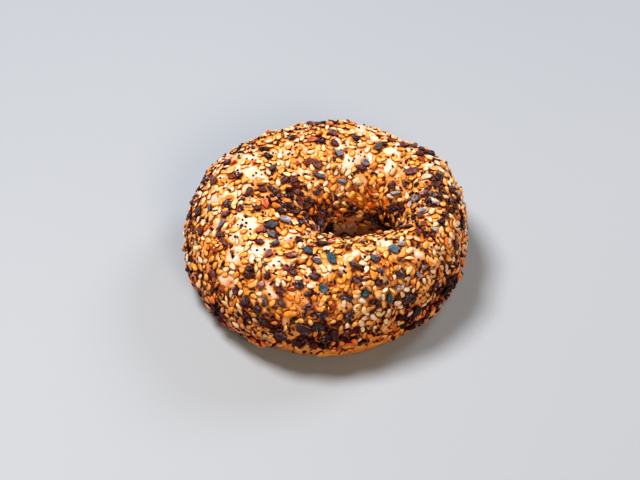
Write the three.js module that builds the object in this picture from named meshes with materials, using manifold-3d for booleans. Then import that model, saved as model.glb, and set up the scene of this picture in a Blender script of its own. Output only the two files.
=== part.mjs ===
// An everything bagel: one thick ring of baked dough lying flat on its foot, with an off-centre
// oval hole, a puffed uneven crown and a coat of seeds and onion flakes baked onto it.
// Units are millimetres, +Z is up and the origin is on the table under the middle of the ring.
// The angle around runs counter-clockwise from +X; the angle across runs round the ring's
// section, with 0 at the outer side, 90 degrees on the crown and 180 degrees inside the hole.

import * as THREE from "three";
import { ParametricGeometry } from "three/addons/geometries/ParametricGeometry.js";
import { mergeVertices } from "three/addons/utils/BufferGeometryUtils.js";
import Module from "manifold-3d";

const wasm = await Module();
wasm.setup();

const { degToRad, seededRandom } = THREE.MathUtils;
const TURN = 2 * Math.PI;

// Driving dimensions of the dough.
const OUTLINE_RADIUS = 54.9;
// The ring's outline is centred a little off the origin, so that the whole bagel is centred on it.
const OUTLINE_CENTRE = { x: -0.6, y: 1.1 };
const OUTLINE_WAVES = [
  { order: 2, height: 0.9, crest: degToRad(25) },
  { order: 3, height: 1.2, crest: degToRad(13) },
];
const HOLE_CENTRE = { x: 12.5, y: -2.4 };
const HOLE_HALF = { x: 15.8, y: 10.8 };
const BELLY_HEIGHT = 16.5;
const CROWN_RISE = 23.6;
// The section would reach this far below the belly, and the table cuts it off flat.
const FOOT_DROP = 20;
const CROWN_SQUARENESS = 2.15;
const FOOT_SQUARENESS = 2.5;

// Soft lumps of the hand-rolled dough: a short sum of waves round the ring and its section.
const LUMP_COUNT = 9;
const LUMP_HEIGHT = 0.2;
const LUMP_PHASE_STEP = 2.4;

// How finely the dough is divided: slices around the ring, stacks across its section.
const RING_SLICES = 72;
const SECTION_STACKS = 24;

// Toppings large enough to show from a step away. Spacing is the room each one keeps.
const TOPPING_SEED = 7;
const FLAKE = { count: 58, length: 5.2, width: 3.6, thickness: 1.1, lean: 0.2, lift: 0.25, spacing: 9.5 };
const SESAME = { count: 112, length: 3.4, width: 2.1, thickness: 1.3, lean: 0.12, lift: 0.15, spacing: 5.6 };
const TOPPED_ACROSS = { from: degToRad(-32), to: degToRad(218) };
const MOST_TRIES = 6000;

// A flake's outline: its corners, and how far out they are as a share of its length and width.
const FLAKE_CORNERS = 5;
const FLAKE_REACH = { least: 0.42, spread: 0.12 };

// A sesame seed's profile from its blunt end to its point, as shares of half its length and width.
const SESAME_SIDES = 6;
const SESAME_PROFILE = [
  { along: -1, out: 0 },
  { along: -0.55, out: 0.84 },
  { along: 0.1, out: 0.96 },
  { along: 1, out: 0 },
];

// Places where the glossy dough shows bare: angle around, angle across and radius.
const BARE_PATCHES = [
  { around: 152, across: 76, radius: 6 },
  { around: 178, across: 66, radius: 5 },
  { around: 130, across: 84, radius: 5 },
  { around: 78, across: 105, radius: 5 },
  { around: 52, across: 98, radius: 5 },
  { around: 197, across: 66, radius: 6 },
  { around: 212, across: 90, radius: 6 },
  { around: 230, across: 88, radius: 5 },
];

// Vertices closer than this are one vertex, and slopes are measured over this small angle.
const MERGE_DISTANCE = 1e-4;
const SLOPE_STEP = 0.01;

const doughMaterial = new THREE.MeshStandardMaterial({ color: 0xd9a765, roughness: 0.55, metalness: 0 });

const roundPower = (value, power) => Math.sign(value) * Math.abs(value) ** power;

// The outline's radius at an angle around.
function outlineRadius(around) {
  return OUTLINE_WAVES.reduce(
    (radius, wave) => radius + wave.height * Math.cos(wave.order * (around - wave.crest)),
    OUTLINE_RADIUS,
  );
}

// How far the dough swells past its smooth form at a place.
function lump(around, across) {
  let swell = 0;
  for (let k = 1; k <= LUMP_COUNT; k++) {
    const wavesAround = 2 + ((k * 3) % 7);
    const wavesAcross = ((k * 5) % 7) - 3;
    swell += Math.cos(wavesAround * around + wavesAcross * across + LUMP_PHASE_STEP * k * k);
  }
  return LUMP_HEIGHT * swell;
}

// The dough's surface: an oval section between the outline and the hole, cut flat by the table.
function doughPoint(around, across, target) {
  const reach = outlineRadius(around);
  const outer = {
    x: OUTLINE_CENTRE.x + reach * Math.cos(around),
    y: OUTLINE_CENTRE.y + reach * Math.sin(around),
  };
  const inner = {
    x: HOLE_CENTRE.x + HOLE_HALF.x * Math.cos(around),
    y: HOLE_CENTRE.y + HOLE_HALF.y * Math.sin(around),
  };
  const upper = Math.sin(across) > 0;
  const power = 2 / (upper ? CROWN_SQUARENESS : FOOT_SQUARENESS);
  const out = roundPower(Math.cos(across), power);
  const rise = roundPower(Math.sin(across), power);
  const halfWidth = Math.hypot(outer.x - inner.x, outer.y - inner.y) / 2;
  const swell = 1 + lump(around, across) / halfWidth;
  const x = (outer.x + inner.x) / 2 + ((outer.x - inner.x) / 2) * out * swell;
  const y = (outer.y + inner.y) / 2 + ((outer.y - inner.y) / 2) * out * swell;
  const z = BELLY_HEIGHT + (upper ? CROWN_RISE : FOOT_DROP) * rise * swell;
  return target.set(x, y, Math.max(z, 0));
}

// A frame on the dough: the point, the outward normal and the direction around the ring.
function doughFrame(around, across) {
  const point = doughPoint(around, across, new THREE.Vector3());
  const along = doughPoint(around + SLOPE_STEP, across, new THREE.Vector3()).sub(point).normalize();
  const over = doughPoint(around, across + SLOPE_STEP, new THREE.Vector3()).sub(point).normalize();
  const normal = new THREE.Vector3().crossVectors(along, over).normalize();
  return { point, along, normal };
}

// A closed three.js geometry as a manifold-3d solid.
function solidOf(geometry) {
  const bare = new THREE.BufferGeometry().setAttribute("position", geometry.getAttribute("position"));
  const merged = mergeVertices(geometry.index ? bare.setIndex(geometry.index) : bare, MERGE_DISTANCE);
  return new wasm.Manifold(
    new wasm.Mesh({
      numProp: 3,
      vertProperties: merged.getAttribute("position").array,
      triVerts: new Uint32Array(merged.index.array),
    }),
  );
}

// A manifold-3d solid as a three.js geometry.
function geometryOf(solid) {
  const mesh = solid.getMesh();
  return new THREE.BufferGeometry()
    .setAttribute("position", new THREE.BufferAttribute(mesh.vertProperties, 3))
    .setIndex(new THREE.BufferAttribute(mesh.triVerts, 1));
}

// A sesame seed: a flattened drop with a blunt end and a pointed one, lying along X.
function sesameGeometry() {
  const drop = SESAME_PROFILE.map(
    ({ along, out }) => new THREE.Vector2((out * SESAME.width) / 2, (along * SESAME.length) / 2),
  );
  return new THREE.LatheGeometry(drop, SESAME_SIDES)
    .rotateZ(-Math.PI / 2)
    .scale(1, 1, SESAME.thickness / SESAME.width);
}

// An onion flake: a thin chip with an uneven outline of straight sides.
function flakeGeometry() {
  const outline = new THREE.Shape();
  for (let i = 0; i < FLAKE_CORNERS; i++) {
    const turn = (i / FLAKE_CORNERS) * TURN;
    const reach = FLAKE_REACH.least + FLAKE_REACH.spread * seededRandom();
    const x = FLAKE.length * reach * Math.cos(turn);
    const y = FLAKE.width * reach * Math.sin(turn);
    if (i === 0) outline.moveTo(x, y);
    else outline.lineTo(x, y);
  }
  outline.closePath();
  return new THREE.ExtrudeGeometry(outline, { depth: FLAKE.thickness, bevelEnabled: false }).translate(
    0,
    0,
    -FLAKE.thickness / 2,
  );
}

function isBare(point) {
  return BARE_PATCHES.some((patch) => {
    const middle = doughPoint(degToRad(patch.around), degToRad(patch.across), new THREE.Vector3());
    return middle.distanceTo(point) < patch.radius;
  });
}

// A place on the dough for one topping: turned to any angle, leaned a little and lifted.
function placeOnDough({ point, along, normal }, kind) {
  const side = new THREE.Vector3().crossVectors(normal, along);
  const turned = new THREE.Matrix4().makeRotationZ(seededRandom() * TURN);
  const leaned = new THREE.Matrix4().makeRotationY((seededRandom() - 0.5) * 2 * kind.lean);
  return new THREE.Matrix4()
    .makeBasis(along, side, normal)
    .setPosition(point.clone().addScaledVector(normal, kind.lift))
    .multiply(turned)
    .multiply(leaned);
}

// Spreads one kind of topping evenly over the topped dough, clear of the bare patches and of the
// toppings already there.
function spreadTopping(kind, makeGeometry, taken) {
  const solids = [];
  for (let tries = 0; tries < MOST_TRIES && solids.length < kind.count; tries++) {
    const around = seededRandom() * TURN;
    const across = TOPPED_ACROSS.from + seededRandom() * (TOPPED_ACROSS.to - TOPPED_ACROSS.from);
    const frame = doughFrame(around, across);
    const crowded = taken.some(
      (other) => other.point.distanceTo(frame.point) < (other.spacing + kind.spacing) / 2,
    );
    if (crowded || isBare(frame.point)) continue;
    taken.push({ point: frame.point, spacing: kind.spacing });
    const place = placeOnDough(frame, kind);
    solids.push(solidOf(makeGeometry().applyMatrix4(place)));
  }
  return solids;
}

const doughGeometry = new ParametricGeometry(
  (u, v, target) => doughPoint(u * TURN, v * TURN, target),
  RING_SLICES,
  SECTION_STACKS,
);

seededRandom(TOPPING_SEED);
const taken = [];
const toppings = [
  ...spreadTopping(FLAKE, flakeGeometry, taken),
  ...spreadTopping(SESAME, sesameGeometry, taken),
];
const fused = toppings.reduce((whole, topping) => whole.add(topping), solidOf(doughGeometry));
// The whole bagel is one body; a topping that missed the faceted dough is left off.
const bagelSolid = fused
  .decompose()
  .reduce((largest, body) => (body.volume() > largest.volume() ? body : largest));

const bagel = new THREE.Mesh(geometryOf(bagelSolid), doughMaterial);
bagel.name = "bagel";

const part = new THREE.Group();
part.add(bagel);

export default part;
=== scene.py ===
"""An everything bagel: a glossy baked crust under sesame, poppy seed, onion and garlic flakes.

The dough repeats the CAD part's form from the same named sizes, and the toppings are scattered
over it by seeded rules. Sizes are in millimetres until a mesh is written, which is in metres.
The angle around runs counter-clockwise from +X; the angle across runs round the ring's section,
with 0 at the outer side, 90 degrees on the crown and 180 degrees inside the hole.
"""
import math

import bpy
import numpy as np
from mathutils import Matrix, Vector
from mathutils.bvhtree import BVHTree
from mathutils.kdtree import KDTree


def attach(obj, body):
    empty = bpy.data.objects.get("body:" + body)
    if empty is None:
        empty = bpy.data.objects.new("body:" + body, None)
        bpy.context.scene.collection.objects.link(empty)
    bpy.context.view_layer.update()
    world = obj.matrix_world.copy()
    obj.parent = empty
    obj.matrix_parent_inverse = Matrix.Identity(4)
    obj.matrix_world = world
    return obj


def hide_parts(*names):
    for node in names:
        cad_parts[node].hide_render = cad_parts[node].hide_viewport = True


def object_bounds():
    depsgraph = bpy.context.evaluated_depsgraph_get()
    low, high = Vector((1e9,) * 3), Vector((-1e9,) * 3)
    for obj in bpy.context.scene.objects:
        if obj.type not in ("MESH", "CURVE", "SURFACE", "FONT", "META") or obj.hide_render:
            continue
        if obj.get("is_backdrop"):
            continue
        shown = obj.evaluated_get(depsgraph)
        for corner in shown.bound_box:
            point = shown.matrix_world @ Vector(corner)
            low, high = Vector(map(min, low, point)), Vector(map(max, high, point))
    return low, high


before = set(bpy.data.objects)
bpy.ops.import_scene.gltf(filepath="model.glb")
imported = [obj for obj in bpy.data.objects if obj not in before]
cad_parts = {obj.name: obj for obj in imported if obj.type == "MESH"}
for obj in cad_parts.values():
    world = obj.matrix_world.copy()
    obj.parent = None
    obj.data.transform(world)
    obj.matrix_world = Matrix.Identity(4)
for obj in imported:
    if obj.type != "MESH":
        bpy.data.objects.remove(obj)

cad_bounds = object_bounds()

MM = 0.001
TURN = 2 * math.pi

# The dough's driving dimensions, the same as the CAD part's.
OUTLINE_RADIUS = 54.9
OUTLINE_CENTRE = (-0.6, 1.1)
OUTLINE_WAVES = ((2, 0.9, math.radians(25)), (3, 1.2, math.radians(13)))
HOLE_CENTRE = (12.5, -2.4)
HOLE_HALF = (15.8, 10.8)
BELLY_HEIGHT = 16.5
CROWN_RISE = 23.6
FOOT_DROP = 20
CROWN_SQUARENESS = 2.15
FOOT_SQUARENESS = 2.5
LUMP_COUNT = 9
LUMP_HEIGHT = 0.2
LUMP_PHASE_STEP = 2.4

# Finer relief of the crust: wavelength and height of each size of ripple, and its fade at the foot.
RIPPLES = ((17.0, 0.28), (7.0, 0.17), (2.8, 0.075))
FLAT_BELOW = 1.0
FULL_ABOVE = 6.0
CRUST_SLICES = 384
CRUST_STACKS = 236

# Seeds of the random fields: relief, ragged edges of patches, paleness and toasting of the crust.
RELIEF_SEED = 11
PATCH_SEED = 51
PALE_SEED = 61
TOAST_SEED = 71

# The camera: the photograph's viewing angle, and the pixel that the middle of the bagel falls on.
PHOTO_SIZE = (640, 480)
CAMERA_ELEVATION = math.radians(45)
CAMERA_DISTANCE = 600
CAMERA_TARGET = (0, 0, 20)
CAMERA_LENS = 85
SENSOR_WIDTH = 36
TARGET_PIXEL = (326.8, 231.2)

# Round lights: place and size in metres, power in watts, tint. The key stands to the left and
# above, the rim behind to the right, and the fill is warm, in front.
LIGHTS = {
    "key": ((-0.34, 0.12, 0.92), 0.34, 13.3, (0.99, 0.965, 0.9)),
    "rim": ((0.55, 0.45, 0.6), 0.35, 3.4, (0.97, 0.98, 1.0)),
    "fill": ((0.32, -0.86, 0.66), 0.4, 7.6, (1.0, 0.83, 0.58)),
}
WORLD_TINT = (1.0, 0.88, 0.76, 1)
WORLD_STRENGTH = 0.08

# The stretch of the section that toppings cover, and the seed that spreads them.
TOPPED_ACROSS = (math.radians(-36), math.radians(222))
TOPPING_SEED = 5

# Length, width and thickness of a seed, and how far it is sunk in the crust, as a share.
SESAME_SIZE = (3.15, 1.95, 0.95)
SESAME_SUNK = 0.16
POPPY_SIZE = (0.95, 0.95, 0.8)
CRUMB_RADIUS = 0.42

# Heights and reaches from bottom to top of a flat chip and of a crumb, and their sides.
FLAKE_PROFILE = (
    (-0.5, 0), (-0.5, 0.6), (-0.36, 0.94), (0.1, 1.0), (0.46, 0.84), (0.5, 0.45), (0.5, 0),
)
FLAKE_SIDES = 8
CRUMB_PROFILE = ((-1, 0), (-0.5, 0.85), (0.55, 0.8), (1, 0))
CRUMB_SIDES = 5

# How far toppings tilt out of the crust's surface, and the share of seeds that lie on edge.
SESAME_TILT = math.radians(11)
FLAKE_TILT = math.radians(9)
POPPY_TILT = math.radians(30)
CRUMB_TILT = math.radians(35)
SESAME_ON_EDGE = 0.07

# The empty margin of each small piece's cell on the bake map.
CELL_MARGIN = 0.05

# A stacked topping lies on any others, settles in among them and stays under a highest stack.
STACKED = math.inf
SETTLED = 0.55
HIGHEST_STACK = 1.1
# The top height noted for flakes that stand out, on which nothing is stacked.
KEPT_CLEAR = 9

# How far from its edge a seed and a flake leave stains and painted contact shade on the crust.
SEED_STAIN_AND_SHADE = 0.8
FLAKE_STAIN_AND_SHADE = 1.3

# The usual spread of sizes within a kind, and a wider one.
EVEN = 0.12
UNEVEN = 0.25

# What is scattered by rule, in order: whose chance it follows, how many at most, the size and
# its spread, the overlap allowed, the places tried, and how far it stains the crust and paints
# shade.
SCATTERED = {
    "chips": ("sesame", 9, (4.0, 3.0, 0.8), EVEN, 0, 600, 0),
    "large": ("flake", 90, (3.4, 2.6, 0.9), EVEN, 0.1, 6000, FLAKE_STAIN_AND_SHADE),
    "skins": ("flake", 110, (2.6, 1.7, 0.45), EVEN, 0.15, 6000, SEED_STAIN_AND_SHADE),
    "sesame": ("sesame", 3200, SESAME_SIZE, EVEN, 0.48, 34000, SEED_STAIN_AND_SHADE),
    "small": ("flake", 900, (1.8, 1.3, 0.6), EVEN, 0.4, 30000, FLAKE_STAIN_AND_SHADE),
    "poppy": ("poppy", 1300, POPPY_SIZE, EVEN, 0.2, 30000, 0),
    "sesame_on_top": ("sesame", 560, SESAME_SIZE, EVEN, STACKED, 3200, 0),
    "small_on_top": ("flake", 240, (2.0, 1.4, 0.6), EVEN, STACKED, 5000, 0),
    "poppy_on_top": ("poppy", 600, POPPY_SIZE, EVEN, STACKED, 4000, 0),
    "crumbs": ("crumb", 1700, (0.8, 0.7, 0.4), UNEVEN, 0.3, 30000, 0),
}

# Patches of crust, each with a pixel of the photograph at its middle and a radius in millimetres.
BARE_PATCHES = (
    (283, 152, 3.6), (287, 143, 2.6), (308, 149, 2.6), (243, 158, 3.2), (241, 168, 3.0),
    (251, 174, 4.2), (260, 174, 3.2), (246, 187, 2.2), (214, 198, 3.0), (223, 196, 3.2),
    (233, 193, 2.4), (252, 227, 4.4), (249, 218, 3.0), (237, 216, 2.2), (216, 229, 2.4),
    (234, 237, 3.4), (267, 247, 2.6), (288, 239, 2.8), (278, 261, 1.8), (235, 254, 4.6),
    (258, 250, 3.2), (273, 249, 3.4), (207, 244, 2.4), (221, 271, 2.8), (226, 282, 3.6),
    (266, 294, 3.0), (257, 301, 2.6), (292, 334, 3.8), (288, 322, 2.6), (257, 336, 2.2),
    (352, 160, 4.4), (367, 153, 3.0), (342, 143, 3.8), (371, 137, 3.4), (392, 150, 3.4),
    (402, 140, 2.6), (389, 167, 3.6), (407, 222, 2.6), (385, 244, 3.2), (376, 247, 2.2),
    (341, 249, 2.2), (354, 254, 2.6), (343, 259, 2.2), (340, 268, 2.0), (419, 254, 2.4),
    (303, 172, 2.6), (398, 291, 2.0), (396, 326, 2.6), (345, 228, 4.0), (338, 232, 2.8),
)
DARK_PATCHES = (
    (424, 151, 5.0), (297, 202, 6.0), (318, 216, 6.0), (448, 284, 6.6), (410, 301, 3.6),
    (282, 336, 3.6), (318, 328, 6.0), (317, 127, 4.0), (385, 222, 5.0), (454, 196, 5.0),
    (194, 217, 4.0), (271, 229, 3.5), (217, 315, 5.0), (303, 345, 3.6), (412, 318, 6.0),
    (345, 335, 5.0), (437, 184, 4.5), (250, 272, 2.6), (424, 230, 3.2),
    (284, 205, 7.0), (298, 192, 6.0), (330, 206, 5.0), (302, 222, 4.0), (258, 308, 5.0),
    (246, 318, 4.0), (284, 328, 5.0), (303, 338, 5.6), (322, 341, 4.6), (408, 222, 3.6),
    (396, 212, 3.6), (454, 289, 5.0), (438, 303, 4.6), (424, 315, 4.8), (418, 247, 3.6),
)
TOASTED_PATCHES = (
    (347, 200, 6.0), (385, 226, 5.0), (311, 141, 3.6), (266, 206, 4.0),
    (402, 182, 6.0), (330, 190, 5.0), (232, 178, 3.0), (390, 262, 4.0), (345, 290, 6.0),
    (285, 315, 6.0), (310, 302, 5.0), (419, 265, 4.0), (212, 262, 5.0), (372, 196, 5.0),
    (412, 165, 5.0), (380, 180, 4.0), (300, 160, 4.0), (262, 185, 4.0), (205, 225, 4.0),
    (230, 302, 6.0), (212, 288, 5.0), (246, 288, 4.0),
)

# Patches without seeds where the crust is less toasted: along the near foot and in the hole.
BALD_PATCHES = (
    (270, 345, 2.6), (282, 348, 3.4), (296, 351, 3.8), (312, 353, 4.0), (328, 353, 4.0),
    (344, 352, 4.0), (358, 350, 3.6), (372, 347, 2.8), (350, 230, 4.2), (359, 220, 3.0),
    (338, 232, 3.6), (368, 230, 3.2),
)

# On the side that the photograph hides: how many patches, their radius, and the angles around
# and across that they lie in, in degrees.
HIDDEN_BARE = (30, 3.4, (15, 165), (10, 80))
HIDDEN_DARK = (12, 5.5, (10, 170), (-20, 60))

# Shallow folds of the crust: angle around, angle across, length, width and depth in millimetres,
# and the turn of the fold's length from the direction round the ring.
FOLDS = (
    (166, 62, 15, 4.2, 1.3, 8),
    (183, 50, 11, 3.6, 1.0, -20),
    (146, 78, 12, 4.6, 0.9, -12),
    (268, 42, 16, 6.0, 0.7, 10),
    (318, 40, 13, 5.0, 0.7, -15),
    (48, 52, 15, 5.0, 0.8, 12),
    (100, 48, 13, 4.6, 0.8, -10),
)

# Flakes that stand out, by tone: pixel, length and width in millimetres, turn in the picture.
CHARRED_LANDMARKS = (
    (322, 123, 4.0, 1.8, 10), (292, 139, 3.2, 2.8, 0), (321, 142, 3.0, 2.8, 0),
    (355, 139, 3.6, 2.2, 10), (404, 147, 4.0, 3.0, 0), (420, 155, 3.6, 3.0, 0),
    (423, 150, 3.8, 2.8, 30), (431, 154, 4.2, 3.2, -20), (444, 167, 2.8, 1.4, 75),
    (264, 150, 4.4, 1.4, 0), (438, 178, 3.8, 3.2, 60), (228, 164, 4.6, 2.4, 20),
    (215, 182, 4.8, 2.4, 60), (207, 182, 3.0, 1.8, -60), (239, 177, 4.0, 2.4, -70),
    (249, 192, 4.4, 2.2, -65), (228, 205, 3.8, 3.0, -30), (241, 209, 2.8, 2.8, 0),
    (200, 212, 4.8, 3.0, 35), (191, 217, 4.2, 1.8, -70), (201, 232, 3.8, 3.2, 60),
    (226, 243, 4.0, 2.2, 30), (257, 209, 3.0, 2.4, 0), (299, 241, 3.4, 2.8, -30),
    (319, 221, 4.6, 4.4, 0), (297, 193, 3.6, 2.6, 80), (300, 202, 4.0, 3.0, 60),
    (289, 208, 4.2, 2.6, 10), (295, 214, 3.6, 2.6, 0), (282, 213, 3.4, 2.2, 30),
    (323, 212, 3.0, 2.4, 0), (328, 228, 4.4, 3.2, 0), (313, 230, 3.6, 2.8, 20),
    (348, 214, 4.6, 1.8, 0), (368, 216, 3.6, 3.0, 60), (385, 229, 4.0, 3.4, 0),
    (378, 222, 3.0, 2.4, 0), (352, 207, 3.2, 2.4, 10), (394, 206, 4.0, 3.2, 0),
    (406, 228, 5.8, 1.8, 5), (418, 233, 4.4, 2.2, 80), (454, 243, 6.6, 2.0, 85),
    (461, 223, 4.6, 1.8, 80), (348, 249, 4.0, 2.2, 80), (353, 266, 5.2, 2.2, 20),
    (401, 260, 3.4, 1.6, 0), (300, 286, 4.0, 3.2, 45), (346, 297, 4.8, 2.0, 5),
    (308, 294, 3.4, 1.8, 10), (372, 302, 3.6, 2.0, 0), (281, 290, 5.0, 2.0, 10),
    (290, 257, 4.8, 2.0, 10), (321, 245, 4.0, 2.4, 30), (267, 277, 3.8, 2.2, -30),
    (251, 269, 3.4, 2.2, 20), (251, 276, 3.6, 2.2, 0), (216, 274, 4.6, 1.8, 35),
    (247, 300, 4.4, 3.6, 0), (216, 288, 3.6, 3.2, -45), (218, 320, 3.8, 3.0, 30),
    (259, 309, 4.6, 2.8, -30), (266, 321, 4.6, 3.2, 30), (323, 315, 4.2, 3.2, 20),
    (280, 335, 5.2, 4.4, -20), (304, 329, 6.0, 4.6, 30), (318, 326, 5.0, 4.2, 0),
    (297, 341, 4.8, 3.4, 0), (322, 345, 3.2, 2.6, 0), (334, 333, 5.0, 4.2, 60),
    (326, 338, 4.2, 3.6, 0), (356, 329, 3.4, 3.0, 0), (348, 315, 5.4, 2.6, -65),
    (399, 317, 3.6, 2.6, 0), (408, 297, 4.6, 4.2, 0), (416, 310, 4.6, 4.0, 30),
    (416, 319, 4.4, 3.2, -60), (408, 327, 4.0, 3.0, 0), (434, 284, 4.6, 3.0, 70),
    (449, 280, 4.2, 3.4, -20), (444, 290, 4.6, 3.2, 30), (459, 272, 3.8, 2.4, -10),
    (317, 193, 3.4, 2.2, -30), (450, 212, 3.6, 2.0, -10), (444, 216, 2.8, 2.2, 0),
    (440, 223, 3.4, 2.4, 30), (439, 197, 2.6, 2.2, 0), (428, 202, 2.8, 2.0, 0),
    (420, 218, 3.2, 1.4, 10), (305, 210, 3.0, 2.4, 20), (290, 199, 3.0, 2.4, 30),
    (310, 200, 3.0, 2.0, 60), (296, 186, 2.6, 1.8, 60),
)
PLUM_LANDMARKS = (
    (314, 125, 5.5, 4.0, 20), (333, 124, 3.8, 2.4, 0), (334, 144, 3.6, 2.4, 30),
    (268, 157, 3.4, 3.0, 20), (362, 168, 4.8, 1.8, 10), (413, 173, 4.8, 2.6, 5),
    (436, 186, 3.4, 2.6, 0), (452, 191, 4.6, 3.6, -40), (318, 166, 4.0, 3.2, 0),
    (274, 191, 5.6, 2.6, 10), (262, 190, 2.8, 2.4, 0), (226, 215, 4.8, 2.0, -25),
    (221, 235, 3.0, 2.8, 0), (260, 243, 3.0, 2.8, 0), (315, 276, 4.6, 2.8, 25),
    (292, 272, 3.6, 2.6, 20), (356, 279, 3.6, 2.4, 30), (379, 283, 3.4, 2.4, 20),
    (400, 274, 2.8, 2.4, 0), (216, 309, 4.4, 2.6, 60), (224, 314, 3.6, 3.0, 20),
    (266, 299, 4.0, 1.8, 80), (281, 303, 4.2, 2.8, 20),
    (307, 307, 3.8, 2.6, 25), (314, 344, 4.4, 3.4, 20), (362, 341, 4.2, 2.6, 0),
    (237, 290, 3.0, 2.2, 80), (339, 274, 3.2, 1.8, 80), (393, 184, 2.8, 2.6, 0),
)
SLATE_LANDMARKS = (
    (378, 148, 4.6, 3.0, -30), (273, 169, 3.6, 2.8, -30), (318, 176, 6.2, 1.8, 15),
    (211, 210, 4.6, 1.6, 70), (223, 226, 5.4, 1.7, -60), (272, 226, 5.4, 3.4, -10),
    (272, 235, 3.2, 3.0, 60), (277, 245, 3.8, 2.2, -15), (381, 271, 3.6, 1.6, 0),
    (317, 262, 3.6, 1.8, 15), (432, 195, 3.0, 2.4, 0),
)
# Dark flakes painted pale blue-grey all over: a painted reflection of their sheen.
GREY_SHEEN_LANDMARKS = (
    (286, 221, 4.6, 2.8, 30), (342, 181, 4.4, 2.6, 5), (417, 199, 4.4, 2.4, 5),
    (396, 193, 5.0, 1.6, 12), (422, 212, 4.0, 2.0, -15), (434, 231, 3.2, 1.8, 10),
    (417, 275, 3.2, 2.0, 10), (397, 287, 3.2, 2.0, 10), (422, 266, 2.6, 2.0, 0),
    (401, 245, 2.6, 2.0, 0), (365, 163, 3.4, 3.0, 0), (435, 204, 3.2, 1.8, 20),
    (338, 154, 4.6, 2.8, 10),
)
MAUVE_LANDMARKS = (
    (269, 254, 3.2, 3.0, -40), (261, 286, 3.4, 2.4, -30), (286, 268, 3.0, 2.2, 20),
    (425, 194, 3.4, 2.6, 0), (314, 126, 2.8, 2.0, 20), (332, 134, 3.4, 2.6, 20),
    (226, 215, 3.4, 1.8, -25), (375, 258, 2.6, 1.8, 0),
)
# Dark flakes painted teal: a painted blue sheen.
TEAL_SHEEN_LANDMARKS = (
    (394, 250, 4.6, 3.4, 40), (374, 260, 4.2, 3.0, 45), (332, 259, 5.2, 3.4, 60),
    (308, 252, 4.2, 3.2, 50), (323, 289, 4.0, 3.0, 50), (365, 294, 3.6, 3.0, 45),
    (388, 298, 4.0, 3.2, 45),
)
RUST_LANDMARKS = (
    (294, 129, 4.0, 1.6, -15), (254, 143, 4.5, 2.2, -10), (312, 140, 4.0, 3.2, 0),
    (391, 141, 3.2, 3.0, 0), (232, 177, 3.6, 2.6, 20), (306, 216, 3.6, 3.0, 0),
    (265, 205, 6.0, 2.6, 80), (260, 230, 5.4, 2.6, -60), (310, 162, 4.4, 2.6, -10),
    (330, 243, 2.6, 2.4, 0), (346, 331, 2.6, 2.4, 0), (424, 224, 3.2, 2.2, -20),
)
GARLIC_LANDMARKS = (
    (426, 178, 3.8, 3.4, 0), (411, 205, 3.8, 3.8, 0), (423, 211, 3.8, 2.4, -20),
    (434, 201, 4.0, 2.6, 10),
)
LANDMARKS = {
    "charred": CHARRED_LANDMARKS, "plum": PLUM_LANDMARKS, "slate": SLATE_LANDMARKS,
    "grey_sheen": GREY_SHEEN_LANDMARKS, "teal_sheen": TEAL_SHEEN_LANDMARKS, "mauve": MAUVE_LANDMARKS,
    "rust": RUST_LANDMARKS, "garlic": GARLIC_LANDMARKS,
}
# Their outlines are ragged, so they are drawn this much larger than they show, and they lie a
# little over the crust.
LANDMARK_SCALE = 1.12
LANDMARK_LIFT = 0.3

# At each step in, a pixel past the outline keeps this share of its distance from the middle.
INWARD = 0.99

# A small angle over which the dough's slopes are measured.
SLOPE_STEP = 0.01


def srgb(red, green, blue):
    """A screen colour of 0 to 255 as the linear values that shaders take."""
    channels = np.array((red, green, blue)) / 255
    return np.where(channels <= 0.04045, channels / 12.92, ((channels + 0.055) / 1.055) ** 2.4)


def smooth(low, high, value):
    """A smooth step from 0 at low to 1 at high; low may be the larger."""
    share = np.clip((value - low) / (high - low), 0, 1)
    return share * share * (3 - 2 * share)


def round_power(value, power):
    return np.sign(value) * np.abs(value) ** power


def outline_radius(around):
    radius = np.full_like(around, OUTLINE_RADIUS)
    for order, height, crest in OUTLINE_WAVES:
        radius += height * np.cos(order * (around - crest))
    return radius


def lump(around, across):
    """How far the dough swells past its smooth form at a place."""
    swell = np.zeros_like(around)
    for k in range(1, LUMP_COUNT + 1):
        waves_around = 2 + (k * 3) % 7
        waves_across = (k * 5) % 7 - 3
        swell += np.cos(waves_around * around + waves_across * across + LUMP_PHASE_STEP * k * k)
    return LUMP_HEIGHT * swell


def dough_point(around, across):
    """The dough's surface: an oval section between the outline and the hole, cut flat below."""
    reach = outline_radius(around)
    direction = np.stack((np.cos(around), np.sin(around)), -1)
    outer = np.array(OUTLINE_CENTRE) + reach[..., None] * direction
    inner = np.array(HOLE_CENTRE) + np.array(HOLE_HALF) * direction
    upper = np.sin(across) > 0
    power = 2 / np.where(upper, CROWN_SQUARENESS, FOOT_SQUARENESS)
    out = round_power(np.cos(across), power)
    rise = round_power(np.sin(across), power)
    half_width = np.linalg.norm(outer - inner, axis=-1) / 2
    swell = 1 + lump(around, across) / half_width
    flat = (outer + inner) / 2 + (outer - inner) / 2 * (out * swell)[..., None]
    height = BELLY_HEIGHT + np.where(upper, CROWN_RISE, FOOT_DROP) * rise * swell
    return np.concatenate((flat, np.maximum(height, 0)[..., None]), -1)


def unit(vectors):
    return vectors / np.maximum(np.linalg.norm(vectors, axis=-1, keepdims=True), 1e-9)


def ripple(points, wavelength, seed, count=18):
    """A smooth random field of about unit height: plane waves in random directions."""
    rng = np.random.default_rng(seed)
    directions = unit(rng.normal(size=(count, 3)))
    speeds = TURN / wavelength * rng.uniform(0.8, 1.25, (count, 1))
    phases = rng.uniform(0, TURN, count)
    return np.cos(points @ (directions * speeds).T + phases).sum(-1) * math.sqrt(2 / count)


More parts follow.
